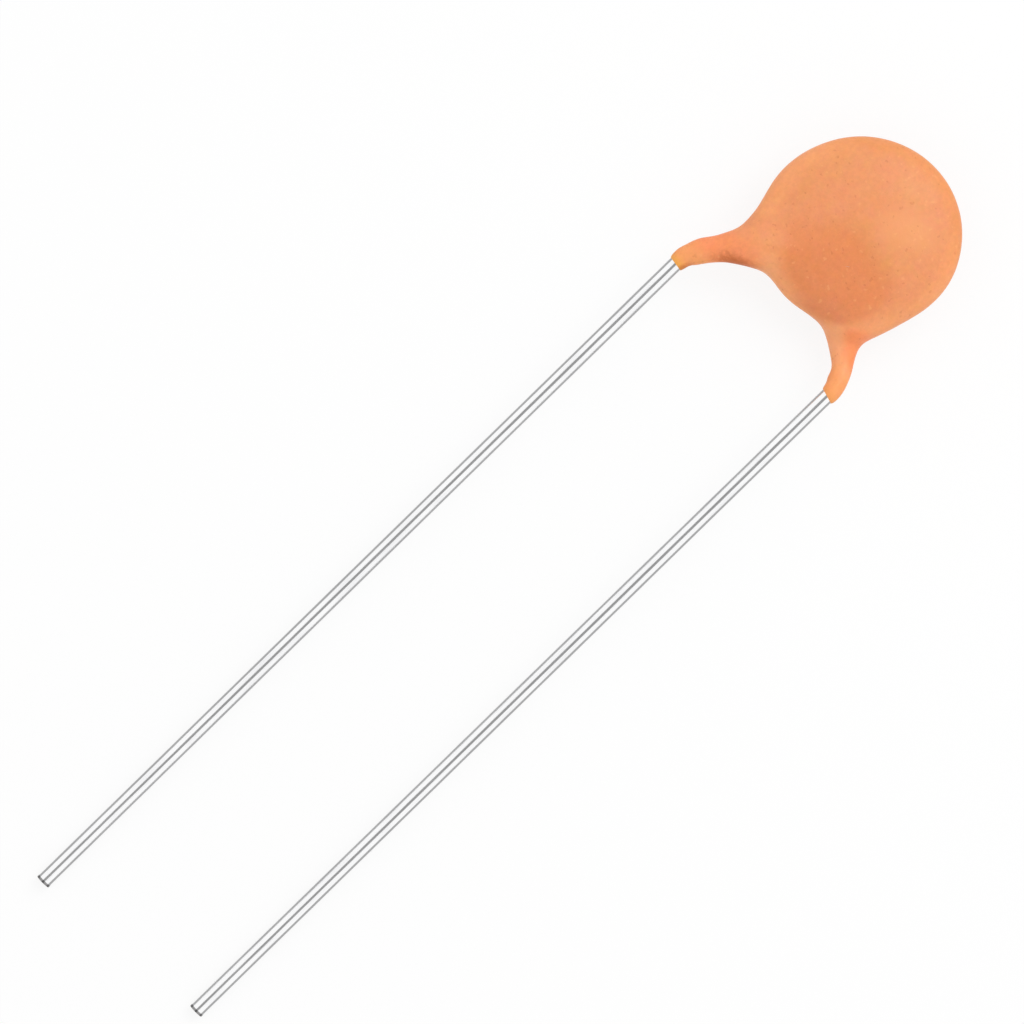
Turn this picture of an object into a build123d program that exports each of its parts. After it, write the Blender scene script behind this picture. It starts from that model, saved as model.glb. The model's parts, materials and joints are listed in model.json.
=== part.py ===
from build123d import *
import os
from math import atan2, cos, degrees, pi, radians, sin, sqrt, tan

# Ceramic disc capacitor with two radial wire leads, in millimetres.
# It is built flat: X runs across the leads, Y from their tips towards the disc, Z out of its front
# face, with the disc's centre at the origin. Then it is laid on its back as it rests on a table.

# Ceramic disc, and the silver electrode fired on each face inside a bare margin
ceramic_diameter = 4.0
ceramic_thickness = 0.45
electrode_margin = 0.3
electrode_thickness = 0.02

# Solder mound that holds each wire on its electrode: its foot, its top, and its film round the wire
solder_diameter = 1.7
solder_top_diameter = 0.9
solder_film = 0.04
solder_cover = 0.11
solder_setback = 0.3

# Tinned wire: bare length from the resin to the tip, and how the pair sits beside the disc
wire_diameter = 0.4
lead_pitch = 5.0
lead_shift = 0.23
bare_length = 22.05
tip_dome_height = 0.06
splay_angle = 45.0

# How far below the disc's edge each wire turns from its straight run to its slanting one
front_corner_drop = 0.74
rear_corner_drop = 0.445
front_bend_radius = 1.35
rear_bend_radius = 0.9

# The slanting run climbs from the disc's middle plane and levels out just short of the ceramic
climb_clearance = 0.1
level_bend_radius = 0.6
wire_overrun = 0.1

# Dipped resin coat: its cover over the ceramic's edge and over the wires, its round rim, and the
# blend from disc to legs, which takes no more than a share of the shorter leg's room
coat_edge_cover = 0.5
coat_wire_cover = 0.165
coat_rim_radius = 0.75
coat_blend_radius = 0.9
coat_blend_share = 0.75

# Resin legs that run down the wires, and the low ridges over them on the disc's faces, which end
# sunk in the crown, at a share of its height
leg_straight = 0.025
leg_end_rounding = 0.12
front_leg_end_radius = 0.26
front_leg_radius = 0.33
front_shoulder = 0.45
rear_leg_end_radius = 0.23
rear_leg_radius = 0.25
rear_shoulder = 0.05
ridge_half_width = 0.6
ridge_cover = 0.25
ridge_run_out = 0.5
ridge_end_share = 0.9

# Rounds in which the turn that lays the part on the table is closed in on
settling_rounds = 5

wire_radius = wire_diameter / 2
electrode_face = ceramic_thickness / 2 + electrode_thickness
wire_height = electrode_face + solder_film + wire_radius
coat_radius = ceramic_diameter / 2 + coat_edge_cover
coat_half_thickness = wire_height + wire_radius + coat_wire_cover


class Lead:
    """Route of one wire: side is -1 left or +1 right, face is +1 front or -1 rear."""

    def __init__(self, side, face, corner_drop, bend_radius, leg_radii, shoulder):
        self.side = side
        self.face = face
        self.leg_end_radius, self.leg_radius = leg_radii
        self.shoulder = shoulder
        self.corner = Vector(side * lead_pitch / 2 - lead_shift, -coat_radius - corner_drop, 0)
        splay = radians(splay_angle)
        self.slant = Vector(-side * sin(splay), cos(splay), 0)
        self.outward = Vector(side * cos(splay), sin(splay), 0)
        self.to_middle = -self.corner.dot(self.slant)
        self.offset = (self.corner + self.slant * self.to_middle).length
        self.level = self.before_middle(ceramic_diameter / 2) - climb_clearance
        self.wire_end = self.to_middle + wire_overrun
        climb = self.on_slant(self.level, wire_height) - self.corner
        bend_tangent = bend_radius * tan(radians(climb.get_angle(Vector(0, 1, 0))) / 2)
        self.leg_end = self.corner - Vector(0, bend_tangent + leg_straight, 0)
        self.tip = self.leg_end - Vector(0, bare_length, 0)
        self.shoulder_end = self.tip + Vector(0, tip_dome_height, 0)
        self.path = FilletPolyline(
            self.shoulder_end,
            self.corner,
            self.on_slant(self.level, wire_height),
            self.on_slant(self.wire_end, wire_height),
            radius=[bend_radius, level_bend_radius],
        )

    def before_middle(self, radius):
        """Plan distance from the corner at which the slanting run crosses a circle of the disc."""
        return self.to_middle - sqrt(radius ** 2 - self.offset ** 2)

    def on_slant(self, distance, height):
        """Point over the slanting run, at a plan distance from the corner."""
        return self.corner + self.slant * distance + Vector(0, 0, self.face * height)


front_leg_radii = (front_leg_end_radius, front_leg_radius)
rear_leg_radii = (rear_leg_end_radius, rear_leg_radius)
front = Lead(-1, 1, front_corner_drop, front_bend_radius, front_leg_radii, front_shoulder)
rear = Lead(1, -1, rear_corner_drop, rear_bend_radius, rear_leg_radii, rear_shoulder)


def crown_arc():
    """Radius of the coat's crown, and how far its centre lies below the middle plane."""
    rise = coat_half_thickness - coat_rim_radius
    flat = coat_radius - coat_rim_radius
    depth = (flat ** 2 - rise ** 2) / (2 * rise)
    return depth + coat_half_thickness, depth


def coat_height(distance):
    """Half thickness of the bare resin disc at a distance from its centre."""
    radius, depth = crown_arc()
    return sqrt(radius ** 2 - distance ** 2) - depth


def make_coat_disc():
    """Resin disc: two shallow crowns that run into a round rim."""
    radius, depth = crown_arc()
    rim_centre = coat_radius - coat_rim_radius
    turn = atan2(depth, rim_centre)
    join = (radius * cos(turn), radius * sin(turn) - depth)
    halfway = (turn + pi / 2) / 2
    crown_middle = (radius * cos(halfway), radius * sin(halfway) - depth)
    rim_middle = (rim_centre + coat_rim_radius * cos(turn / 2), coat_rim_radius * sin(turn / 2))
    with BuildSketch(Plane.XZ) as profile:
        with BuildLine():
            ThreePointArc((0, coat_half_thickness), crown_middle, join)
            ThreePointArc(join, rim_middle, (coat_radius, 0))
            Line((coat_radius, 0), (0, 0))
            Line((0, 0), (0, coat_half_thickness))
        make_face()
        mirror(about=Plane.XZ)
    return revolve(profile.sketch, Axis.Z)


def leg_section(lead, point, direction, half_width, half_height):
    """Ellipse across the wire, with its seam turned away from the face that the wire runs over."""
    upright = Plane(origin=point, x_dir=(0, 0, -lead.face), z_dir=(direction.X, direction.Y, 0))
    return upright * Ellipse(half_height, half_width)


def make_leg(lead):
    """Resin that runs down one wire, and the low ridge over it on the disc's face."""
    bend, climb = lead.path.edges()[1:3]
    middle_radius = (lead.leg_end_radius + lead.leg_radius) / 2
    root = climb @ 0.5 + lead.outward * (lead.shoulder / 2)
    root_radius = (lead.leg_radius + ridge_half_width) / 2
    ridge_start = lead.on_slant((lead.level + lead.to_middle) / 2, wire_height)
    ridge_half_height = wire_radius + ridge_cover
    ridge_end = lead.wire_end + ridge_run_out
    end_height = coat_height(ridge_end - lead.to_middle) * ridge_end_share - wire_height
    stations = [
        (lead.leg_end, Vector(0, 1, 0), lead.leg_end_radius, lead.leg_end_radius),
        (bend @ 0.5, bend % 0.5, middle_radius, middle_radius),
        (bend @ 1, bend % 1, lead.leg_radius, lead.leg_radius),
        (root, lead.slant, root_radius + lead.shoulder / 2, root_radius),
        (ridge_start, lead.slant, ridge_half_width, ridge_half_height),
        (lead.on_slant(lead.wire_end, wire_height), lead.slant, ridge_half_width, ridge_half_height),
        (lead.on_slant(ridge_end, wire_height), lead.slant, ridge_half_width, end_height),
    ]
    return loft([leg_section(lead, *station) for station in stations])


def make_coat_outside():
    """Outer skin of the resin: disc and legs, run together by surface tension."""
    disc = make_coat_disc()
    legs = [make_leg(front), make_leg(rear)]
    body = disc + legs[0] + legs[1]
    leg_room = min(lead.before_middle(coat_radius) for lead in (front, rear))
    blend_radius = min(coat_blend_radius, leg_room * coat_blend_share)
    body = fillet(new_edges(disc, *legs, combined=body), blend_radius)
    ends = body.faces().filter_by(GeomType.PLANE).edges()
    return fillet(ends, leg_end_rounding)


def make_disc_layer(diameter, thickness, height):
    """Round layer of the ceramic stack, centred on the given height."""
    return Pos(0, 0, height) * Cylinder(diameter / 2, thickness)


def make_lead(lead):
    """Tinned wire: domed tip, straight run, bend, climb to the electrode, and soldered end."""
    wire = sweep(Plane(origin=lead.shoulder_end, z_dir=(0, 1, 0)) * Circle(wire_radius), path=lead.path)
    dome_radius = (wire_radius ** 2 + tip_dome_height ** 2) / (2 * tip_dome_height)
    dome_edge = degrees(atan2(dome_radius - tip_dome_height, wire_radius))
    dome = Sphere(dome_radius, arc_size1=dome_edge, arc_size2=90)
    foot = dome.faces().filter_by(GeomType.PLANE)[0].center()
    return wire + Plane(origin=lead.shoulder_end, z_dir=(0, -1, 0)) * Pos(-foot) * dome


def make_solder(lead, wire):
    """Solder mound: molten solder drawn up in a cone over the wire on its electrode."""
    height = solder_film + wire_diameter + solder_cover
    mound = Cone(solder_diameter / 2, solder_top_diameter / 2, height)
    seat = lead.on_slant(lead.to_middle - solder_setback, electrode_face)
    return Plane(origin=seat, z_dir=(0, 0, lead.face)) * Pos(0, 0, height / 2) * mound - wire


def lowest(shape):
    return shape.bounding_box().min.Z


def resting_turn(coat):
    """Turn about the line between the lead tips that sets the coat's back on the table."""
    drop = Vector(0, tip_dome_height, -wire_radius)
    line = Axis(front.tip + drop, rear.tip - front.tip)
    reach = -(front.tip.Y + rear.tip.Y) / 2
    angle = 0.0
    for _ in range(settling_rounds):
        gap = lowest(coat.rotate(line, angle)) + wire_radius
        angle -= degrees(gap / reach)
    return line, angle


def make_parts():
    """Every piece of the capacitor, flat, with the disc's centre at the origin."""
    electrode_height = (ceramic_thickness + electrode_thickness) / 2
    electrode_diameter = ceramic_diameter - 2 * electrode_margin
    pieces = {
        "ceramic_disc": make_disc_layer(ceramic_diameter, ceramic_thickness, 0),
        "front_electrode": make_disc_layer(electrode_diameter, electrode_thickness, electrode_height),
        "rear_electrode": make_disc_layer(electrode_diameter, electrode_thickness, -electrode_height),
        "front_lead": make_lead(front),
        "rear_lead": make_lead(rear),
    }
    pieces["front_solder"] = make_solder(front, pieces["front_lead"])
    pieces["rear_solder"] = make_solder(rear, pieces["rear_lead"])
    coat = make_coat_outside()
    line, angle = resting_turn(coat)
    for piece in pieces.values():
        coat = coat - piece
    pieces["coating"] = coat
    return pieces, line, angle


flat_parts, tip_line, tilt = make_parts()
laid_parts = {name: piece.rotate(tip_line, tilt) for name, piece in flat_parts.items()}
extent = Compound(children=[Compound(piece.solids()) for piece in laid_parts.values()]).bounding_box()
to_origin = Pos(-extent.center().X, -extent.center().Y, -extent.min.Z)

os.makedirs("parts", exist_ok=True)
for name, piece in laid_parts.items():
    solid = (to_origin * piece).solid()
    solid.label = name
    export_step(solid, f"parts/{name}.step")
    print(name, round(solid.volume, 4), "mm3")
print("tilt", round(tilt, 3), "deg, size", [round(v, 3) for v in extent.size])
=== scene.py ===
import bpy
import json
import math
from mathutils import Matrix, Vector


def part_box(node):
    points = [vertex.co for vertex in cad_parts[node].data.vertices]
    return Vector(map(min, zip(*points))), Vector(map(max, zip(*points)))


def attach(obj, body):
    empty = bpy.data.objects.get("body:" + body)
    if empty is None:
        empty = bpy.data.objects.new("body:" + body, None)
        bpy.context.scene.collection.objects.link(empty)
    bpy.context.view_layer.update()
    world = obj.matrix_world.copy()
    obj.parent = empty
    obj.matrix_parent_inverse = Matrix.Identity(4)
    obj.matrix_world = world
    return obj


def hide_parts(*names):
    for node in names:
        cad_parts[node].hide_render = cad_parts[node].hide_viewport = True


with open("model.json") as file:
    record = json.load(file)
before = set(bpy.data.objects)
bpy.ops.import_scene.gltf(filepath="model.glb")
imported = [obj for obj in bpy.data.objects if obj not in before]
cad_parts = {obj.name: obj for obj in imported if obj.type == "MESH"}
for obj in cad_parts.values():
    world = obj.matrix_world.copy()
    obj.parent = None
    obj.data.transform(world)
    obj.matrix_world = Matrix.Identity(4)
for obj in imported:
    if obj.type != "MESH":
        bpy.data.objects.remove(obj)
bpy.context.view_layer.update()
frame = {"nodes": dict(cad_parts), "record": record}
print("frame: loaded", sorted(frame["nodes"]))

# The leads' own frame in millimetres: X across the leads, Y from their tips to the disc,
# Z out of the disc's front face, with the middle of the ceramic disc at the origin.
mounts = {mount["name"]: mount for mount in frame["record"]["mounts"]}
alongLeads = -Vector(mounts["front_lead"]["axis"]).normalized()
between = Vector(mounts["rear_lead"]["pos_m"]) - Vector(mounts["front_lead"]["pos_m"])
acrossLeads = (between - alongLeads * between.dot(alongLeads)).normalized()
outOfFace = acrossLeads.cross(alongLeads)
discCentre = sum(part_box("ceramic_disc"), Vector()) / 2
leadTurn = Matrix((acrossLeads, alongLeads, outOfFace)).transposed()
millimetre = 0.001
leadFrame = Matrix.Translation(discCentre) @ leadTurn.to_4x4() @ Matrix.Scale(millimetre, 4)


# Short ways to add nodes
def addNode(tree, kind, inputs=None, **settings):
    node = tree.nodes.new(kind)
    for name, value in settings.items():
        setattr(node, name, value)
    for name, value in (inputs or {}).items():
        if isinstance(value, bpy.types.NodeSocket):
            tree.links.new(value, node.inputs[name])
        else:
            node.inputs[name].default_value = value
    return node


def calc(tree, operation, *values):
    return addNode(tree, "ShaderNodeMath", dict(enumerate(values)), operation=operation).outputs[0]


def product(tree, first, *others):
    for other in others:
        first = calc(tree, "MULTIPLY", first, other)
    return first


# Eases from start to stop as the value goes from the first of the two ends to the second
def rangeOf(tree, value, ends, start=0.0, stop=1.0, kind="SMOOTHSTEP"):
    inputs = {"Value": value, "From Min": ends[0], "From Max": ends[1], "To Min": start, "To Max": stop}
    return addNode(tree, "ShaderNodeMapRange", inputs, interpolation_type=kind).outputs[0]


def vectorCalc(tree, operation, *vectors):
    node = addNode(tree, "ShaderNodeVectorMath", dict(enumerate(vectors)), operation=operation)
    return node.outputs["Value" if operation in ("DOT_PRODUCT", "LENGTH") else "Vector"]


def splitAxes(tree, vector):
    return addNode(tree, "ShaderNodeSeparateXYZ", {0: vector}).outputs


def flatDirection(angle):
    return Vector((math.cos(math.radians(angle)), math.sin(math.radians(angle)), 0.0))


def noiseOf(tree, where, scale, detail=2.0, roughness=0.5, seed=0.0):
    inputs = {"Vector": where, "W": seed, "Scale": scale, "Detail": detail, "Roughness": roughness}
    return addNode(tree, "ShaderNodeTexNoise", inputs, noise_dimensions="4D").outputs["Fac"]


# A piece is grown by its own tree from a mesh of its wire routes
def startTree(name, sizes):
    tree = bpy.data.node_groups.new(name, "GeometryNodeTree")
    tree.interface.new_socket("Geometry", in_out="INPUT", socket_type="NodeSocketGeometry")
    for label, value in sizes.items():
        kind = "NodeSocketInt" if isinstance(value, int) else "NodeSocketFloat"
        tree.interface.new_socket(label, in_out="INPUT", socket_type=kind)
    tree.interface.new_socket("Geometry", in_out="OUTPUT", socket_type="NodeSocketGeometry")
    given = addNode(tree, "NodeGroupInput").outputs
    return tree, {socket.name: socket for socket in given if socket.name}


def readAttribute(tree, name):
    return addNode(tree, "GeometryNodeInputNamedAttribute", {"Name": name}).outputs[0]


def storeAttribute(tree, geometry, name, value):
    inputs = {0: geometry, "Name": name, "Value": value}
    return addNode(tree, "GeometryNodeStoreNamedAttribute", inputs, data_type="FLOAT",
                   domain="POINT").outputs[0]


def endTree(tree, geometry, material):
    realized = addNode(tree, "GeometryNodeRealizeInstances", {0: geometry})
    smooth = addNode(tree, "GeometryNodeSetShadeSmooth", {0: realized.outputs[0]})
    finished = addNode(tree, "GeometryNodeSetMaterial", {0: smooth.outputs[0], "Material": material})
    addNode(tree, "NodeGroupOutput", {0: finished.outputs[0]})


def growPiece(name, mesh, tree, sizes, material):
    seed = bpy.data.objects.new(name + "Seed", mesh)
    bpy.context.scene.collection.objects.link(seed)
    modifier = seed.modifiers.new("grow", "NODES")
    modifier.node_group = tree
    for socket in tree.interface.items_tree:
        if socket.in_out == "INPUT" and socket.name in sizes:
            modifier[socket.identifier] = sizes[socket.name]
    grown = bpy.data.meshes.new_from_object(seed.evaluated_get(bpy.context.evaluated_depsgraph_get()))
    bpy.data.objects.remove(seed)
    grown.transform(leadFrame)
    grown.materials.clear()
    grown.materials.append(material)
    grown.name = name
    piece = bpy.data.objects.new(name, grown)
    bpy.context.scene.collection.objects.link(piece)
    print("piece:", name, len(grown.vertices), "vertices")
    return piece


# Routes of the two wires, as they run under the resin
routeSizes = {
    "leadPitch": 5.0,
    "leadShift": 0.23,
    "wireRadius": 0.2,
    "wireHeight": 0.485,     # of the soldered end over the middle plane
    "discRadius": 2.5,
    "ceramicRadius": 2.0,
    "climbClearance": 0.1,
    "levelBend": 0.6,
    "overrun": 0.1,
    "bareLength": 22.14,
    "legStraight": 0.025,
    "tipDome": 0.065,
}
leads = {
    "front_lead": {"side": -1, "face": 1, "cornerDrop": 0.74, "cornerBend": 1.35},
    "rear_lead": {"side": 1, "face": -1, "cornerDrop": 0.445, "cornerBend": 0.9},
}


def wireRoute(side, face, cornerDrop, cornerBend):
    s = routeSizes
    corner = Vector((side * s["leadPitch"] / 2 - s["leadShift"], -s["discRadius"] - cornerDrop, 0))
    slant = Vector((-side, 1, 0)).normalized()
    toMiddle = -corner.dot(slant)
    offset = (corner + slant * toMiddle).length
    level = toMiddle - math.sqrt(s["ceramicRadius"] ** 2 - offset ** 2) - s["climbClearance"]
    lift = Vector((0, 0, face * s["wireHeight"]))
    levelPoint = corner + slant * level + lift
    turned = (levelPoint - corner).angle(Vector((0, 1, 0)))
    legEnd = corner.y - cornerBend * math.tan(turned / 2) - s["legStraight"]
    tip = Vector((corner.x, legEnd - s["bareLength"], 0))
    return tip, corner, levelPoint, corner + slant * (toMiddle + s["overrun"]) + lift


def routeMesh(name, points, edges, attributes):
    mesh = bpy.data.meshes.new(name)
    mesh.from_pydata(points, edges, [])
    for label, (domain, values) in attributes.items():
        mesh.attributes.new(label, "FLOAT", domain).data.foreach_set("value", values)
    return mesh


# Materials read millimetres in the leads' own frame
def startMaterial(name):
    material = bpy.data.materials.new(name)
    material.use_nodes = True
    tree = material.node_tree
    where = addNode(tree, "ShaderNodeTexCoord").outputs["Object"]
    inputs = {"Vector": where, "Location": discCentre, "Rotation": leadTurn.to_euler(),
              "Scale": (millimetre,) * 3}
    mapped = addNode(tree, "ShaderNodeMapping", inputs, vector_type="TEXTURE")
    return material, tree, tree.nodes["Principled BSDF"], mapped.outputs[0]


def mixColour(tree, share, first, second, blend="MIX"):
    node = addNode(tree, "ShaderNodeMix", data_type="RGBA", blend_type=blend)
    for socket, value in ((node.inputs[0], share), (node.inputs[6], first), (node.inputs[7], second)):
        if isinstance(value, bpy.types.NodeSocket):
            tree.links.new(value, socket)
        elif hasattr(value, "__len__"):
            socket.default_value = (*value, 1.0)
        else:
            socket.default_value = value
    return node.outputs[2]


def attributeMask(tree, name):
    return addNode(tree, "ShaderNodeAttribute", attribute_name=name).outputs["Fac"]


def addMarks(tree, group, where, settings):
    return addNode(tree, "ShaderNodeGroup", {"Vector": where, **settings}, node_tree=group).outputs


def finishShader(tree, shader, colour, height, bumpHeight):
    tree.links.new(colour, shader.inputs["Base Color"])
    inputs = {"Height": height, "Strength": 1.0, "Distance": bumpHeight * millimetre}
    bump = addNode(tree, "ShaderNodeBump", inputs)
    tree.links.new(bump.outputs[0], shader.inputs["Normal"])


def startGroup(name, inputs, outputs):
    tree = bpy.data.node_groups.new(name, "ShaderNodeTree")
    for label, kind in inputs.items():
        tree.interface.new_socket(label, in_out="INPUT", socket_type=kind)
    for label in outputs:
        tree.interface.new_socket(label, in_out="OUTPUT", socket_type="NodeSocketFloat")
    given = addNode(tree, "NodeGroupInput").outputs
    return tree, {socket.name: socket for socket in given if socket.name}


cloudRange, noiseRange = (0.32, 0.68), (0.3, 0.7)  # where most of a noise's values lie

# Speckle of a fired or dipped powder: broad clouds, fine grain, dark pits, pale specks, and height
speckle, given = startGroup(
    "powderSpeckle",
    {"Vector": "NodeSocketVector", "Cloud Scale": "NodeSocketFloat", "Grain Scale": "NodeSocketFloat",
     "Speck Scale": "NodeSocketFloat", "Speck Share": "NodeSocketFloat"},
    ("Clouds", "Grain", "Pits", "Specks", "Height"),
)
spotMiddle, spotReach, spotEdge = 0.5, 0.4, 0.07  # of the noise that makes pits and specks
clouds = noiseOf(speckle, given["Vector"], given["Cloud Scale"], detail=4.0, roughness=0.62, seed=3.1)
grain = noiseOf(speckle, given["Vector"], given["Grain Scale"], detail=3.0, roughness=0.7, seed=8.4)
spots = noiseOf(speckle, given["Vector"], given["Speck Scale"], detail=1.0, roughness=0.5, seed=1.9)
fromMiddle = calc(speckle, "SUBTRACT", spotReach, given["Speck Share"])
darkest = calc(speckle, "SUBTRACT", spotMiddle, fromMiddle)
palest = calc(speckle, "ADD", spotMiddle, fromMiddle)
pits = rangeOf(speckle, spots, (darkest, calc(speckle, "SUBTRACT", darkest, spotEdge)))
specks = rangeOf(speckle, spots, (palest, calc(speckle, "ADD", palest, spotEdge)))
speckleHeight = calc(speckle, "SUBTRACT", calc(speckle, "MULTIPLY_ADD", clouds, 2.0, grain), pits)
addNode(speckle, "NodeGroupOutput", {
    "Clouds": rangeOf(speckle, clouds, cloudRange), "Grain": rangeOf(speckle, grain, noiseRange),
    "Pits": pits, "Specks": specks, "Height": speckleHeight})

# Marks of a metal surface: streaks along Y, as a wire is drawn, and soft waves of flowed metal
metalMarks, given = startGroup(
    "metalMarks",
    {"Vector": "NodeSocketVector", "Streak Scale": "NodeSocketFloat", "Wave Scale": "NodeSocketFloat"},
    ("Streaks", "Waves", "Height"),
)
drawnOut = (1.0, 0.03, 1.0)
stretched = vectorCalc(metalMarks, "MULTIPLY", given["Vector"], drawnOut)
streaks = noiseOf(metalMarks, stretched, given["Streak Scale"], detail=2.0, seed=1.7)
waves = noiseOf(metalMarks, given["Vector"], given["Wave Scale"], detail=2.0, seed=5.2)
addNode(metalMarks, "NodeGroupOutput", {
    "Streaks": rangeOf(metalMarks, streaks, noiseRange), "Waves": rangeOf(metalMarks, waves, noiseRange),
    "Height": calc(metalMarks, "MULTIPLY_ADD", waves, 0.6, streaks)})

resinLook = {
    "body": (0.84, 0.305, 0.11),
    "rosy": (0.86, 0.285, 0.13),
    "tan": (0.82, 0.325, 0.105),
    "hollowShade": (0.8, 0.248, 0.082),
    "rim": (0.97, 0.37, 0.14),
    "topRim": (0.87, 0.315, 0.1),
    "lowRim": (1.0, 0.41, 0.165),
    "lowerEdgeShade": (0.79, 0.244, 0.09),
    "legRoot": (0.98, 0.298, 0.107),
    "rearRootPaintedLight": (1.0, 0.4, 0.17),
    "rearFlush": (1.0, 0.3, 0.105),
    "legTip": (0.97, 0.36, 0.12),
    "film": (0.93, 0.41, 0.05),
    "pit": (0.5, 0.13, 0.04),
    "speck": (0.98, 0.45, 0.17),
    "smudge": (0.57, 0.12, 0.012),
    "pale": (0.94, 0.38, 0.15),
    "roughness": 0.5,
    "roughnessSpread": 0.06,
    "bumpHeight": 0.004,
}
# how much of each tint shows
resinShares = {"cloud": 0.5, "rim": 0.85, "rimOverLeg": 0.25, "lowerAtRim": 0.35, "rearFilm": 0.3,
               "pit": 0.24, "speck": 0.3}
resinMarks = {"Cloud Scale": 1.1, "Grain Scale": 9.0, "Speck Scale": 8.0, "Speck Share": 0.235}
# where each tint comes in: along X or Y, out from the disc's middle, or up from the legs' ends
resinPlaces = {
    "rimOut": (1.9, 2.45),
    "rimY": (1.9, 0.6),            # from the upper rim's painted shade to the sides' painted light
    "lowRimY": (-1.8, -2.25),
    "rimToLeg": (0.965, 0.995),    # cosine of the angle from the front leg
    "lowerLeftX": (-0.4, 0.5),
    "lowerRightX": (1.6, 1.1),
    "lowerY": (-1.0, -2.0),
    "lowerOut": (2.15, 2.4),
    "frontRootUp": (2.1, 1.3),
    "frontRootX": (-1.0, -1.5),
    "rearRootOut": (2.2, 2.5),
    "rearRootX": (0.8, 1.1),
    "rearRootY": (-1.4, -1.8),
    "flushSum": (-0.8, -0.35),     # X + Y, across the rear leg
    "flushY": (-2.75, -2.4),
    "legTipUp": (1.0, 0.5),
    "filmUp": (0.35, 0.0),
    "filmX": (-1.0, 0.5),
}
frontLegAngle = 226.0        # of the line from the disc's middle to the front leg
# fine grain: its levels in red, and scale, levels and seed of its noise in green and in blue
redGrain = (0.96, 1.04)
otherGrains = ((5.0, (0.955, 1.045), 12.0), (3.5, (0.9, 1.1), 15.0))
# darker smudges on the front leg's underside, partly painted shade, and a painted sheen on the face:
# middle, half sizes, angle, strength and colour
patches = [
    ((-1.68, -2.64, 0.37), (0.8, 0.36, 0.4), 42.0, 0.88, "smudge"),
    ((-2.52, -3.72, 0.1), (0.3, 0.12, 0.3), 70.0, 0.6, "smudge"),
    # a painted sheen on the face's upper right
    ((0.65, 0.85, 0.8), (1.0, 0.7, 1.0), 20.0, 0.55, "pale"),
]
patchEdge, patchGrain = (1.15, 0.3), 0.2     # where a patch fades in, and how uneven its edge is


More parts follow.
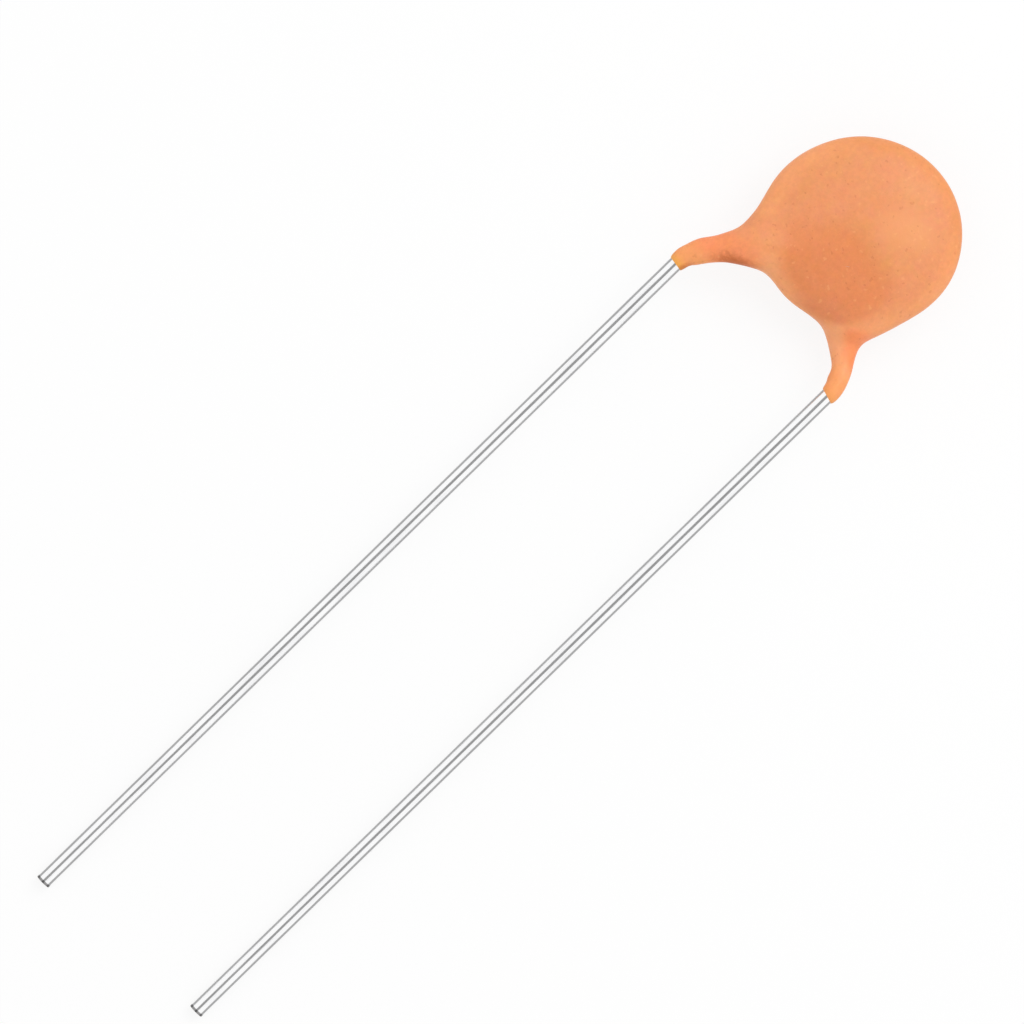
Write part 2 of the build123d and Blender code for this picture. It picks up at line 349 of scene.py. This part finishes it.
def makeResin():
    look, at, shares = resinLook, resinPlaces, resinShares
    material, tree, shader, where = startMaterial("dippedResin")
    marks = addMarks(tree, speckle, where, resinMarks)
    colour = mixColour(tree, marks["Clouds"], look["tan"], look["rosy"])
    colour = mixColour(tree, shares["cloud"], look["body"], colour)
    # painted shade: the hollow between the legs is coloured darker, as if turned away from the light
    colour = mixColour(tree, attributeMask(tree, "hollowShade"), colour, look["hollowShade"])
    x, y = splitAxes(tree, where)[:2]
    flat = addNode(tree, "ShaderNodeCombineXYZ", {0: x, 1: y}).outputs[0]
    reach = vectorCalc(tree, "LENGTH", flat)
    # painted light: the rim is lightened against the shade of its sloping sides, more along its lower part,
    # less at its top, which faces the lamp, and less where the front leg leaves it
    rimPaintedLight = mixColour(tree, rangeOf(tree, y, at["rimY"]), look["topRim"], look["rim"])
    rimPaintedLight = mixColour(tree, rangeOf(tree, y, at["lowRimY"]), rimPaintedLight, look["lowRim"])
    towardsLeg = vectorCalc(tree, "DOT_PRODUCT", flat, flatDirection(frontLegAngle))
    overLeg = calc(tree, "DIVIDE", towardsLeg, reach)
    rim = product(tree, rangeOf(tree, reach, at["rimOut"], 0.0, shares["rim"]),
                  rangeOf(tree, overLeg, at["rimToLeg"], 1.0, shares["rimOverLeg"]))
    colour = mixColour(tree, rim, colour, rimPaintedLight)
    # painted shade: the face between the legs darkens towards its lower edge, less on the rim
    lower = product(tree, rangeOf(tree, x, at["lowerLeftX"]), rangeOf(tree, x, at["lowerRightX"]),
                    rangeOf(tree, y, at["lowerY"]),
                    rangeOf(tree, reach, at["lowerOut"], 1.0, shares["lowerAtRim"]))
    colour = mixColour(tree, lower, colour, look["lowerEdgeShade"])
    # the front leg reddens at its root and the legs yellow at their ends
    fromEnd = attributeMask(tree, "fromEnd")
    frontRoot = product(tree, rangeOf(tree, fromEnd, at["frontRootUp"]), rangeOf(tree, x, at["frontRootX"]))
    colour = mixColour(tree, frontRoot, colour, look["legRoot"])
    # painted light: the rear leg's root is lightened, most on its inner side that turns from the lamp, and
    # its lit outer side is kept a deeper red
    rearRootPaintedLight = product(tree, rangeOf(tree, reach, at["rearRootOut"]), rangeOf(tree, x, at["rearRootX"]),
                       rangeOf(tree, y, at["rearRootY"]))
    colour = mixColour(tree, rearRootPaintedLight, colour, look["rearRootPaintedLight"])
    flush = product(tree, rearRootPaintedLight, rangeOf(tree, calc(tree, "ADD", x, y), at["flushSum"]),
                    rangeOf(tree, y, at["flushY"]))
    colour = mixColour(tree, flush, colour, look["rearFlush"])
    colour = mixColour(tree, rangeOf(tree, fromEnd, at["legTipUp"]), colour, look["legTip"])
    # fine grain, each colour channel with its own
    channels = [rangeOf(tree, marks["Grain"], (0.0, 1.0), *redGrain, "LINEAR")]
    for scale, levels, seed in otherGrains:
        tint = noiseOf(tree, where, scale, detail=3.0, roughness=0.6, seed=seed)
        channels.append(product(tree, channels[0], rangeOf(tree, tint, noiseRange, *levels, "LINEAR")))
    grainColour = addNode(tree, "ShaderNodeCombineColor", dict(enumerate(channels))).outputs[0]
    colour = mixColour(tree, 1.0, colour, grainColour, "MULTIPLY")
    film = product(tree, rangeOf(tree, fromEnd, at["filmUp"]),
                   rangeOf(tree, x, at["filmX"], 1.0, shares["rearFilm"]))
    colour = mixColour(tree, film, colour, look["film"])
    for middle, size, angle, most, name in patches:
        inputs = {"Vector": where, "Location": middle, "Rotation": (0.0, 0.0, math.radians(angle)),
                  "Scale": size}
        spot = addNode(tree, "ShaderNodeMapping", inputs, vector_type="TEXTURE").outputs[0]
        uneven = calc(tree, "MULTIPLY_ADD", marks["Grain"], patchGrain, vectorCalc(tree, "LENGTH", spot))
        colour = mixColour(tree, rangeOf(tree, uneven, patchEdge, 0.0, most), colour, look[name])
    for name, mask in (("pit", marks["Pits"]), ("speck", marks["Specks"])):
        colour = mixColour(tree, product(tree, mask, shares[name]), colour, look[name])
    roughest, spread = look["roughness"] + look["roughnessSpread"], look["roughnessSpread"]
    roughness = rangeOf(tree, marks["Clouds"], (0.0, 1.0), look["roughness"] - spread, roughest, "LINEAR")
    tree.links.new(roughness, shader.inputs["Roughness"])
    finishShader(tree, shader, colour, marks["Height"], look["bumpHeight"])
    return material


metalLooks = {
    "tinnedWire": {"colour": (0.97, 0.97, 0.975), "dull": (0.87, 0.87, 0.885), "roughness": (0.1, 0.2),
                   "cut": (0.29, 0.285, 0.285),
                   "streakScale": 30.0, "waveScale": 1.2, "bumpHeight": 0.0004},
    "solderMetal": {"colour": (0.72, 0.72, 0.73), "dull": (0.55, 0.55, 0.57), "roughness": (0.25, 0.45),
                    "streakScale": 6.0, "waveScale": 3.0, "bumpHeight": 0.004},
    "firedSilver": {"colour": (0.82, 0.81, 0.78), "dull": (0.7, 0.68, 0.64), "roughness": (0.45, 0.6),
                    "streakScale": 9.0, "waveScale": 6.0, "bumpHeight": 0.002},
}


def makeMetal(name):
    look = metalLooks[name]
    material, tree, shader, where = startMaterial(name)
    marks = addMarks(tree, metalMarks, where,
                     {"Streak Scale": look["streakScale"], "Wave Scale": look["waveScale"]})
    shader.inputs["Metallic"].default_value = 1.0
    dullness = product(tree, marks["Streaks"], marks["Waves"])
    colour = mixColour(tree, dullness, look["colour"], look["dull"])
    if "cut" in look:        # bare metal where the wire was cut off; part of its darkness is a painted reflection of shade
        colour = mixColour(tree, attributeMask(tree, "cutEnd"), colour, look["cut"])
    roughness = rangeOf(tree, marks["Streaks"], (0.0, 1.0), *look["roughness"], "LINEAR")
    tree.links.new(roughness, shader.inputs["Roughness"])
    finishShader(tree, shader, colour, marks["Height"], look["bumpHeight"])
    return material


ceramicLook = {"body": (0.40, 0.31, 0.21), "light": (0.55, 0.45, 0.33), "roughness": 0.6,
               "bumpHeight": 0.004}
ceramicMarks = {"Cloud Scale": 1.5, "Grain Scale": 14.0, "Speck Scale": 9.0, "Speck Share": 0.2}


def makeCeramic():
    look = ceramicLook
    material, tree, shader, where = startMaterial("firedCeramic")
    marks = addMarks(tree, speckle, where, ceramicMarks)
    shader.inputs["Roughness"].default_value = look["roughness"]
    colour = mixColour(tree, marks["Grain"], look["body"], look["light"])
    finishShader(tree, shader, colour, marks["Height"], look["bumpHeight"])
    return material


resin = makeResin()
tinnedWire = makeMetal("tinnedWire")
print("materials: made")


# The coat is a distance field of the disc and of the resin round the wires, run together
coatSizes = {
    "discRadius": 2.497,
    "halfThickness": 0.87,
    "boxiness": 2.7,         # 2 is an ellipsoid, more has a flatter face and a fuller rim
    "hollowDepth": 0.07,     # the face sinks a little between the legs
    "sideShift": 0.1,        # the lower half hangs to the left
    "lowerFlat": 0.106,      # how far the edge between the legs is drawn in
    "upperFlat": 0.044,      # how far the edge at the upper left is drawn in
    "lowerSwell": 0.05,      # how far the edge between the legs swells again in its middle
    "frontShoulder": 0.449,  # how far the edge swells beside each leg
    "rearShoulder": 0.234,
    "legBlend": 1.1,         # reach of the surface tension at the legs
    "faceBlend": 0.6,        # the same on the disc's faces
    "frontRadius0": 0.239,   # radius of the resin round the wire, from the leg's end to the disc
    "frontRadius1": 0.324,
    "frontRadius2": 0.395,
    "frontRadius3": 0.1,
    "frontEnd": -3.892,
    "frontEndSlant": -0.12,
    "frontLean": -0.045,     # how far the leg's resin leans outwards
    "rearRadius0": 0.243,
    "rearRadius1": 0.245,
    "rearRadius2": 0.33,
    "rearRadius3": 0.08,
    "rearEnd": -3.49,
    "rearEndSlant": -0.28,
    "rearLean": 0.045,
    "frontFill": 0.0,        # how much resin gathers inside the wire's bend
    "rearFill": 0.035,
    "endRounding": 0.31,
    "waveScale": 0.7,
    "waveHeight": 0.02,
    "grainScale": 7.0,
    "grainHeight": 0.004,
    "bendSteps": 12,
    "cells": 34.0,           # grid cells to the millimetre
}
# where, along Y on the wire, the radii hold, and where the lean comes and goes
radiusPlaces = {"front": (-3.8, -3.0, -2.2, -1.2), "rear": (-3.35, -2.9, -2.1, -1.2)}
leanPlaces = {"front": (-3.6, -3.3, -2.95, -2.6), "rear": (-3.0, -2.55, -2.1, -1.2)}
# swells and flats of the disc's edge: angle, sharpness and direction
edgeSwells = {"frontShoulder": (228.3, 30.0, 1.0), "rearShoulder": (316.5, 27.0, 1.0),
              "lowerSwell": (262.0, 30.0, 1.0), "upperFlat": (125.5, 4.0, -1.0)}
# where the other changes come in, along X or Y or a slanting line
coatPlaces = {
    "sideShiftY": (1.2, -1.2),
    "lowerFlatY": (-1.0, -2.3),
    "blendY": (-2.3, 0.2),
    "legsX": (-1.3, 1.2),
    "fillStart": (-3.2, -2.95),
    "fillStop": (-2.9, -2.6),
    "hollowLower": (-2.35, -1.7),
    "hollowUpper": (0.4, -0.5),
    "hollowLeft": (-0.6, 0.25),
    "hollowRight": (1.85, 1.3),
}
hollowLean = -0.6
coatGrid = {"low": (-3.2, -4.05, -1.1), "high": (2.7, 2.65, 1.1)}
stubBelowCorner = 2.0    # how far below its corner a wire's route starts


# Distance from the resin round one wire
def legField(tree, given, position, route, name):
    side = leads[name + "_lead"]["side"]
    x, y = splitAxes(tree, position)[:2]
    prox = addNode(tree, "GeometryNodeProximity", {"Target": route}, target_element="EDGES").outputs
    near = splitAxes(tree, prox["Position"])[1]
    radius = given[name + "Radius0"]
    places = radiusPlaces[name]
    for step in range(len(places) - 1):
        change = calc(tree, "SUBTRACT", given[f"{name}Radius{step + 1}"], given[f"{name}Radius{step}"])
        radius = calc(tree, "ADD", radius, rangeOf(tree, near, places[step:step + 2], 0.0, change))
    direction = vectorCalc(tree, "NORMALIZE", vectorCalc(tree, "SUBTRACT", position, prox["Position"]))
    outside = vectorCalc(tree, "DOT_PRODUCT", direction, Vector((side, 1, 0)).normalized())
    start, full, last, over = leanPlaces[name]
    lean = product(tree, rangeOf(tree, near, (start, full)), rangeOf(tree, near, (last, over), 1.0, 0.0),
                   outside, given[name + "Lean"])
    radius = calc(tree, "ADD", radius, lean)
    # the resin fills the inside of the wire's bend
    inside = calc(tree, "MAXIMUM", calc(tree, "MULTIPLY", outside, -1.0), 0.0)
    fill = product(tree, inside, rangeOf(tree, near, coatPlaces["fillStart"], 0.0, given[name + "Fill"]),
                   rangeOf(tree, near, coatPlaces["fillStop"], 1.0, 0.0))
    radius = calc(tree, "ADD", radius, fill)
    leadX = side * routeSizes["leadPitch"] / 2 - routeSizes["leadShift"]
    endLine = calc(tree, "MULTIPLY_ADD", calc(tree, "SUBTRACT", x, leadX), given[name + "EndSlant"],
                   given[name + "End"])
    return calc(tree, "SMOOTH_MAX", calc(tree, "SUBTRACT", prox["Distance"], radius),
                calc(tree, "SUBTRACT", endLine, y), given["endRounding"])


# 1 between the two legs' ridges, from the middle of the face to its lower edge
def hollowMask(tree, position):
    at = coatPlaces
    along = vectorCalc(tree, "DOT_PRODUCT", position, Vector((1, 1, 0)).normalized())
    beside = vectorCalc(tree, "DOT_PRODUCT", position, Vector((1, -1, 0)).normalized())
    leaning = calc(tree, "MULTIPLY_ADD", beside, hollowLean, along)
    return product(tree, rangeOf(tree, along, at["hollowLower"]), rangeOf(tree, leaning, at["hollowUpper"]),
                   rangeOf(tree, beside, at["hollowLeft"]),
                   rangeOf(tree, splitAxes(tree, position)[0], at["hollowRight"]))


# Distance from the disc, a superellipsoid: (f - 1) over the slope of f
def discField(tree, given, position):
    at = coatPlaces
    smallest = 0.001         # keeps the powers above zero
    x, y, z = splitAxes(tree, position)
    shifted = calc(tree, "ADD", x, rangeOf(tree, y, at["sideShiftY"], 0.0, given["sideShift"]))
    flat = addNode(tree, "ShaderNodeCombineXYZ", {0: shifted, 1: y}).outputs[0]
    reach = vectorCalc(tree, "LENGTH", flat)
    heading = vectorCalc(tree, "NORMALIZE", flat)
    drawnIn = rangeOf(tree, y, at["lowerFlatY"], 0.0, given["lowerFlat"])
    edge = calc(tree, "SUBTRACT", given["discRadius"], drawnIn)
    for label, (angle, sharpness, sign) in edgeSwells.items():
        facing = vectorCalc(tree, "DOT_PRODUCT", heading, flatDirection(angle))
        bulge = calc(tree, "POWER", calc(tree, "MAXIMUM", facing, 0.0), sharpness)
        edge = calc(tree, "MULTIPLY_ADD", product(tree, bulge, given[label]), sign, edge)
    sunk = product(tree, hollowMask(tree, position), given["hollowDepth"])
    thickness = calc(tree, "SUBTRACT", given["halfThickness"], sunk)
    power = given["boxiness"]
    steeper = calc(tree, "SUBTRACT", power, 1.0)
    shares, slopes = [], []
    for value, half in ((reach, edge), (calc(tree, "ABSOLUTE", z), thickness)):
        share = calc(tree, "MAXIMUM", calc(tree, "DIVIDE", value, half), smallest)
        shares.append(calc(tree, "POWER", share, power))
        slopes.append(calc(tree, "DIVIDE", calc(tree, "POWER", share, steeper), half))
    total = calc(tree, "POWER", calc(tree, "ADD", *shares), calc(tree, "DIVIDE", 1.0, power))
    slope = addNode(tree, "ShaderNodeCombineXYZ", dict(enumerate(slopes))).outputs[0]
    rise = product(tree, calc(tree, "SUBTRACT", total, 1.0), calc(tree, "POWER", total, steeper))
    return calc(tree, "DIVIDE", rise, vectorCalc(tree, "LENGTH", slope))


# The part of each wire that the resin hides, both in one mesh
def coatRoutes():
    points, edges, bends, rears = [], [], [], []
    for lead in leads.values():
        corner, level, wireEnd = wireRoute(**lead)[1:]
        first = len(points)
        points += [corner - Vector((0, stubBelowCorner, 0)), corner, level, wireEnd]
        edges += [(first + step, first + step + 1) for step in range(3)]
        bends += [0.0, lead["cornerBend"], routeSizes["levelBend"], 0.0]
        rears += [float(lead["side"] > 0)] * 3
    return routeMesh("wireRoutes", points, edges, {"bend": ("POINT", bends), "rear": ("EDGE", rears)})


def makeCoat():
    tree, given = startTree("dippedCoat", coatSizes)
    position = addNode(tree, "GeometryNodeInputPosition").outputs[0]
    x, y = splitAxes(tree, position)[:2]
    bend, isRear = readAttribute(tree, "bend"), readAttribute(tree, "rear")
    legs = []
    for name, comparison in (("front", "LESS_THAN"), ("rear", "GREATER_THAN")):
        chosen = calc(tree, comparison, isRear, 0.5)
        curve = addNode(tree, "GeometryNodeMeshToCurve", {0: given["Geometry"], "Selection": chosen})
        curve = addNode(tree, "GeometryNodeFilletCurve",
                        {0: curve.outputs[0], "Radius": bend, "Count": given["bendSteps"]}, mode="POLY")
        route = addNode(tree, "GeometryNodeCurveToMesh", {0: curve.outputs[0]})
        legs.append(legField(tree, given, position, route.outputs[0], name))
    blend = rangeOf(tree, y, coatPlaces["blendY"], given["legBlend"], given["faceBlend"])
    body = calc(tree, "SMOOTH_MIN", discField(tree, given, position), calc(tree, "MINIMUM", *legs), blend)
    for label, seed in (("wave", 2.0), ("grain", 6.0)):
        noise = calc(tree, "SUBTRACT", noiseOf(tree, position, given[label + "Scale"], seed=seed), 0.5)
        body = calc(tree, "MULTIPLY_ADD", noise, given[label + "Height"], body)
    low, high = Vector(coatGrid["low"]), Vector(coatGrid["high"])
    grid = {"Density": calc(tree, "MULTIPLY", body, -1.0), "Background": -1.0, "Min": low, "Max": high}
    for axis, label in enumerate("XYZ"):
        grid["Resolution " + label] = calc(tree, "MULTIPLY", given["cells"], (high - low)[axis])
    volume = addNode(tree, "GeometryNodeVolumeCube", grid)
    skin = addNode(tree, "GeometryNodeVolumeToMesh", {"Volume": volume.outputs[0], "Threshold": 0.0})
    # the finish reads how far a point is above its leg's end, and the hollow, where it paints shade
    end = rangeOf(tree, x, coatPlaces["legsX"], given["frontEnd"], given["rearEnd"])
    skin = storeAttribute(tree, skin.outputs[0], "fromEnd", calc(tree, "SUBTRACT", y, end))
    skin = storeAttribute(tree, skin, "hollowShade", hollowMask(tree, position))
    endTree(tree, skin, resin)
    return growPiece("resin_coat", coatRoutes(), tree, coatSizes, resin)


coat = makeCoat()
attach(coat, "root")
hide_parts("coating")


# One tree sweeps a round wire along each route, with a slightly domed cut end
leadSizes = {"wireRadius": 0.2, "around": 40, "bendSteps": 14}
tipShape = {
    "steps": 10,
    "narrowest": 0.02,       # shares of the wire's width
    "widest": 0.98,
    "shoulder": 0.01,        # from the dome to the full width
    "cutWidths": (0.995, 0.975),
}


def leadTree():
    tree, given = startTree("tinnedLead", leadSizes)
    bend, size = readAttribute(tree, "bend"), readAttribute(tree, "size")
    curve = addNode(tree, "GeometryNodeMeshToCurve", {0: given["Geometry"]})
    curve = addNode(tree, "GeometryNodeFilletCurve",
                    {0: curve.outputs[0], "Radius": bend, "Count": given["bendSteps"]}, mode="POLY")
    curve = addNode(tree, "GeometryNodeSetCurveRadius", {0: curve.outputs[0], "Radius": size})
    circle = addNode(tree, "GeometryNodeCurvePrimitiveCircle",
                     {"Resolution": given["around"], "Radius": given["wireRadius"]})
    wire = addNode(tree, "GeometryNodeCurveToMesh",
                   {0: curve.outputs[0], "Profile Curve": circle.outputs[0], "Fill Caps": True})
    cutEnd = rangeOf(tree, size, tipShape["cutWidths"])
    endTree(tree, storeAttribute(tree, wire.outputs[0], "cutEnd", cutEnd), tinnedWire)
    return tree


def domedTip(tip):
    dome, radius, steps = routeSizes["tipDome"], routeSizes["wireRadius"], tipShape["steps"]
    capRadius = (radius ** 2 + dome ** 2) / (2 * dome)
    points, widths = [], []
    for step in range(steps):
        width = max(tipShape["widest"] * step / (steps - 1), tipShape["narrowest"])
        depth = capRadius - math.sqrt(capRadius ** 2 - (width * radius) ** 2)
        points.append(tip + Vector((0, depth, 0)))
        widths.append(width)
    return points + [tip + Vector((0, dome + tipShape["shoulder"], 0))], widths + [1.0]


leadGrowth = leadTree()
for name, lead in leads.items():
    tip, *bent = wireRoute(**lead)
    points, widths = domedTip(tip)
    bends = [0.0] * len(points) + [lead["cornerBend"], routeSizes["levelBend"], 0.0]
    points, widths = points + bent, widths + [1.0] * len(bent)
    edges = [(step, step + 1) for step in range(len(points) - 1)]
    route = routeMesh(name + "Route", points, edges, {"bend": ("POINT", bends), "size": ("POINT", widths)})
    piece = growPiece("tinned_" + name, route, leadGrowth, leadSizes, tinnedWire)
    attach(piece, "root")
    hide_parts(name)

# What the resin seals in keeps its CAD shape
hiddenFinishes = {
    "ceramic_disc": makeCeramic(),
    "front_electrode": makeMetal("firedSilver"),
    "front_solder": makeMetal("solderMetal"),
}
hiddenFinishes["rear_electrode"] = hiddenFinishes["front_electrode"]
hiddenFinishes["rear_solder"] = hiddenFinishes["front_solder"]
for name, material in hiddenFinishes.items():
    node = frame["nodes"][name]
    node.data.materials.clear()
    node.data.materials.append(material)
print("sealed nodes: finished")

# Floor, light and camera
white = (1.0, 1.0, 1.0, 1.0)
floorLook = {
    "size": 2.0,
    "colour": 0.96,
    "ownWhite": 0.86,
    "far": (0.12, 0.45),     # how edge-on the table is seen where it darkens in reflections
    "farShade": 0.68,
}


def makeFloor():
    look = floorLook
    half, level = look["size"] / 2, look["colour"]
    mesh = bpy.data.meshes.new("tableTop")
    corners = [(-half, -half, 0), (half, -half, 0), (half, half, 0), (-half, half, 0)]
    mesh.from_pydata(corners, [], [(0, 1, 2, 3)])
    table = bpy.data.objects.new("tableTop", mesh)
    bpy.context.scene.collection.objects.link(table)
    material = bpy.data.materials.new("paleTable")
    material.use_nodes = True
    tree = material.node_tree
    tree.nodes.clear()
    matte = addNode(tree, "ShaderNodeBsdfDiffuse", {"Color": (level, level, level, 1.0)})
    path = addNode(tree, "ShaderNodeLightPath").outputs
    # in the wires' reflections the table darkens towards its far edge
    facing = addNode(tree, "ShaderNodeLayerWeight", {"Blend": 0.5}).outputs["Facing"]
    shade = product(tree, rangeOf(tree, facing, look["far"], 0.0, look["farShade"]), path["Is Glossy Ray"])
    glow = addNode(tree, "ShaderNodeEmission",
                   {"Color": white, "Strength": calc(tree, "SUBTRACT", 1.0, shade)})
    seen = calc(tree, "MAXIMUM", calc(tree, "MAXIMUM", path["Is Camera Ray"], path["Is Glossy Ray"]),
                path["Is Transmission Ray"])
    share = product(tree, seen, look["ownWhite"])
    mixed = addNode(tree, "ShaderNodeMixShader", {0: share, 1: matte.outputs[0], 2: glow.outputs[0]})
    addNode(tree, "ShaderNodeOutputMaterial", {0: mixed.outputs[0]})
    mesh.materials.append(material)


# A white tent with a round opening overhead, where the camera looks in
tentLook = {
    "level": 0.87,
    "opening": (0.93, 0.965),
    "openingLevel": 0.3,
    "foot": (0.0, 0.18),
    "footLevel": 0.3,
    "ends": (0.3, 0.85),
    "endsLevel": 0.4,
}


def makeTent():
    look = tentLook
    world = bpy.data.worlds.new("studio")
    bpy.context.scene.world = world
    world.use_nodes = True
    tree = world.node_tree
    tree.nodes.clear()
    direction = addNode(tree, "ShaderNodeTexCoord").outputs["Generated"]
    lengthways, up = splitAxes(tree, direction)[1:]
    opening = rangeOf(tree, up, look["opening"], 1.0, look["openingLevel"])
    path = addNode(tree, "ShaderNodeLightPath").outputs
    # in the wires' reflections its foot is grey, and so are its ends, which they point at
    foot = rangeOf(tree, up, look["foot"], look["footLevel"], 1.0)
    ends = rangeOf(tree, calc(tree, "ABSOLUTE", lengthways), look["ends"], 1.0, look["endsLevel"])
    level = addNode(tree, "ShaderNodeMix",
                    {0: path["Is Glossy Ray"], 2: look["level"], 3: product(tree, foot, ends)})
    lit = product(tree, opening, level.outputs[0])
    seen = calc(tree, "MAXIMUM", path["Is Camera Ray"], path["Is Transmission Ray"])
    strength = addNode(tree, "ShaderNodeMix", {0: seen, 2: lit, 3: 1.0})
    sky = addNode(tree, "ShaderNodeBackground", {"Color": white, "Strength": strength.outputs[0]})
    addNode(tree, "ShaderNodeOutputWorld", {0: sky.outputs[0]})


keyLook = {"power": 0.046, "size": 0.09, "distance": 0.12, "height": 54.0, "turn": 8.0}


def makeKeyLight():
    light = bpy.data.lights.new("softKey", "AREA")
    light.shape = "DISK"
    light.size = keyLook["size"]
    light.energy = keyLook["power"]
    key = bpy.data.objects.new("softKey", light)
    bpy.context.scene.collection.objects.link(key)
    height, turn = math.radians(keyLook["height"]), math.radians(keyLook["turn"])
    level = math.cos(height)
    towards = Vector((math.sin(turn) * level, math.cos(turn) * level, math.sin(height)))
    key.location = discCentre + towards * keyLook["distance"]
    key.rotation_euler = towards.to_track_quat("Z", "Y").to_euler()


# The camera looks straight down; these place the lead frame in the picture, in millimetres
cameraView = {"middle": (-1.15, -11.07, 0.0), "width": 25.6, "lens": 200.0, "sensor": 36.0,
              "rightAcross": 0.6983, "rightAlong": 0.7158, "clipRatio": 100}


def makeCamera():
    view = cameraView
    data = bpy.data.cameras.new("camera")
    camera = bpy.data.objects.new("camera", data)
    bpy.context.scene.collection.objects.link(camera)
    data.lens = view["lens"]
    data.sensor_width = view["sensor"]
    data.sensor_fit = "HORIZONTAL"
    distance = view["width"] * millimetre * data.lens / data.sensor_width
    data.clip_start, data.clip_end = distance / view["clipRatio"], distance * view["clipRatio"]
    right = acrossLeads * view["rightAcross"] + alongLeads * view["rightAlong"]
    right = Vector((right.x, right.y, 0)).normalized()
    back = Vector((0, 0, 1))
    place = Matrix.Translation(leadFrame @ Vector(view["middle"]) + back * distance)
    camera.matrix_world = place @ Matrix((right, back.cross(right), back)).transposed().to_4x4()
    bpy.context.scene.camera = camera


makeFloor()
makeTent()
makeKeyLight()
makeCamera()
bpy.context.scene.view_settings.view_transform = "Standard"
print("stage: set")
